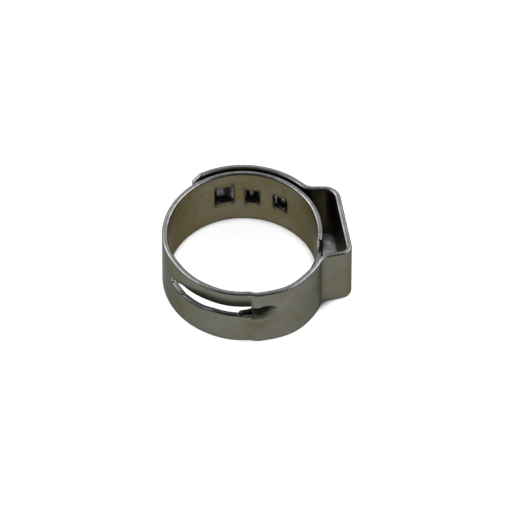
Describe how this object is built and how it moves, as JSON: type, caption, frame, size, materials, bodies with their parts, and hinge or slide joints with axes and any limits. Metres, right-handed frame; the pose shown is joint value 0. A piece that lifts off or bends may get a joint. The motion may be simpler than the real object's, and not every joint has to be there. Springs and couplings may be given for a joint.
{
  "type": "hose clamp",
  "caption": "Stepless one-ear hose clamp bent from one stainless strip, with hooked outer end, pinch ear, tunnel, slot and tongue.",
  "frame": {"origin": "on the ring's axis, in the plane of the strip's lower rim", "axes": "+Z along the ring's axis, +X towards the ear"},
  "size_m": [0.0193, 0.018, 0.007],
  "materials": {
    "stainless": "satin",
    "sheared_edge": "satin"
  },
  "bodies": {
    "hooked_back": {"inner_back_band": "stainless", "guide_hook": "sheared_edge", "middle_hook": "sheared_edge", "ear_side_hook": "sheared_edge"},
    "left_back": {"left_back_band": "stainless"},
    "left_front": {"left_front_band": "stainless"},
    "slot_tail": {"slot_tail_band": "stainless"},
    "slot_mouth": {"slot_mouth_band": "stainless"},
    "step": {"step_band": "stainless"},
    "front_overlap": {"front_overlap_band": "stainless"},
    "front_leg": {"ear_front_leg": "stainless"},
    "front_bridge": {"ear_front_bridge": "stainless"},
    "rear_bridge": {"ear_rear_bridge": "stainless"},
    "rear_leg": {"ear_rear_leg": "stainless"},
    "rear_foot": {"ear_rear_foot": "stainless"},
    "lock_end": {"outer_lock_end": "stainless"},
    "inner_right": {"inner_right_band": "stainless"},
    "inner_shoulder": {"inner_shoulder_band": "stainless"},
    "tongue_root": {"tongue_root": "stainless"},
    "tongue_middle": {"tongue_middle": "stainless"},
    "tongue_tip": {"tongue_tip": "stainless"}
  },
  "joints": [
    {"name": "left_back_bend", "type": "hinge", "parent": "hooked_back", "child": "left_back", "pos_m": [-0.00529, 0.00587, 0.0035], "axis": [0, 0, 1], "range_deg": [0, 7.4]},
    {"name": "left_front_bend", "type": "hinge", "parent": "left_back", "child": "left_front", "pos_m": [-0.00778, 0.00137, 0.0035], "axis": [0, 0, 1], "range_deg": [0, 4.19]},
    {"name": "slot_tail_bend", "type": "hinge", "parent": "left_front", "child": "slot_tail", "pos_m": [-0.00738, -0.00283, 0.0035], "axis": [0, 0, 1], "range_deg": [0, 4.3]},
    {"name": "slot_mouth_bend", "type": "hinge", "parent": "slot_tail", "child": "slot_mouth", "pos_m": [-0.00383, -0.00691, 0.0035], "axis": [0, 0, 1], "range_deg": [0, 4.92]},
    {"name": "step_bend", "type": "hinge", "parent": "slot_mouth", "child": "step", "pos_m": [0.00182, -0.00788, 0.0035], "axis": [0, 0, 1], "range_deg": [0, 3.85]},
    {"name": "front_bend", "type": "hinge", "parent": "step", "child": "front_overlap", "pos_m": [0.00486, -0.0072, 0.0035], "axis": [0, 0, 1], "range_deg": [0, 3.51]},
    {"name": "ear_pinch", "type": "hinge", "parent": "front_overlap", "child": "front_leg", "pos_m": [0.00817, -0.00296, 0.0035], "axis": [0, 0, -1], "range_deg": [0, 69.4]},
    {"name": "front_shoulder_bend", "type": "hinge", "parent": "front_leg", "child": "front_bridge", "pos_m": [0.01079, -0.00235, 0.0035], "axis": [0, 0, 1], "range_deg": [0, 33.37]},
    {"name": "bridge_bend", "type": "hinge", "parent": "front_bridge", "child": "rear_bridge", "pos_m": [0.01009, 0.00176, 0.0035], "axis": [0, 0, 1], "range_deg": [0, 32.32]},
    {"name": "rear_shoulder_bend", "type": "hinge", "parent": "rear_bridge", "child": "rear_leg", "pos_m": [0.00938, 0.00587, 0.0035], "axis": [0, 0, 1], "range_deg": [0, 37.91]},
    {"name": "rear_foot_bend", "type": "hinge", "parent": "rear_leg", "child": "rear_foot", "pos_m": [0.00641, 0.00587, 0.0035], "axis": [0, 0, -1], "range_deg": [0, 59.97]},
    {"name": "lock_lift", "type": "hinge", "parent": "rear_foot", "child": "lock_end", "pos_m": [0.00535, 0.00685, 0.0035], "axis": [0, 0, -1], "range_deg": [0, 10]},
    {"name": "inner_right_bend", "type": "hinge", "parent": "hooked_back", "child": "inner_right", "pos_m": [0.00568, 0.00549, 0.0035], "axis": [0, 0, -1], "range_deg": [0, 8.33]},
    {"name": "inner_shoulder_bend", "type": "hinge", "parent": "inner_right", "child": "inner_shoulder", "pos_m": [0.00751, 0.00244, 0.0035], "axis": [0, 0, -1], "range_deg": [0, 3.27]},
    {"name": "tongue_root_bend", "type": "hinge", "parent": "inner_shoulder", "child": "tongue_root", "pos_m": [0.00785, -0.00085, 0.0035], "axis": [0, 0, -1], "range_deg": [0, 3.32]},
    {"name": "tongue_middle_bend", "type": "hinge", "parent": "tongue_root", "child": "tongue_middle", "pos_m": [0.00663, -0.0043, 0.0035], "axis": [0, 0, -1], "range_deg": [0, 3.48]},
    {"name": "tongue_tip_bend", "type": "hinge", "parent": "tongue_middle", "child": "tongue_tip", "pos_m": [0.00395, -0.00684, 0.0035], "axis": [0, 0, -1], "range_deg": [0, 3.55]}
  ],
  "couplings": [
    {"joint": "left_back_bend", "follows": "ear_pinch", "ratio": 0.1023},
    {"joint": "left_front_bend", "follows": "ear_pinch", "ratio": 0.056052},
    {"joint": "slot_tail_bend", "follows": "ear_pinch", "ratio": 0.057637},
    {"joint": "slot_mouth_bend", "follows": "ear_pinch", "ratio": 0.066571},
    {"joint": "step_bend", "follows": "ear_pinch", "ratio": 0.051153},
    {"joint": "front_bend", "follows": "ear_pinch", "ratio": 0.046254},
    {"joint": "front_shoulder_bend", "follows": "ear_pinch", "ratio": 0.47651},
    {"joint": "bridge_bend", "follows": "ear_pinch", "ratio": 0.46138},
    {"joint": "rear_shoulder_bend", "follows": "ear_pinch", "ratio": 0.54193},
    {"joint": "rear_foot_bend", "follows": "ear_pinch", "ratio": 0.8598},
    {"joint": "inner_right_bend", "follows": "ear_pinch", "ratio": 0.11571},
    {"joint": "inner_shoulder_bend", "follows": "ear_pinch", "ratio": 0.042795},
    {"joint": "tongue_root_bend", "follows": "ear_pinch", "ratio": 0.043516},
    {"joint": "tongue_middle_bend", "follows": "ear_pinch", "ratio": 0.045821},
    {"joint": "tongue_tip_bend", "follows": "ear_pinch", "ratio": 0.04683}
  ]
}
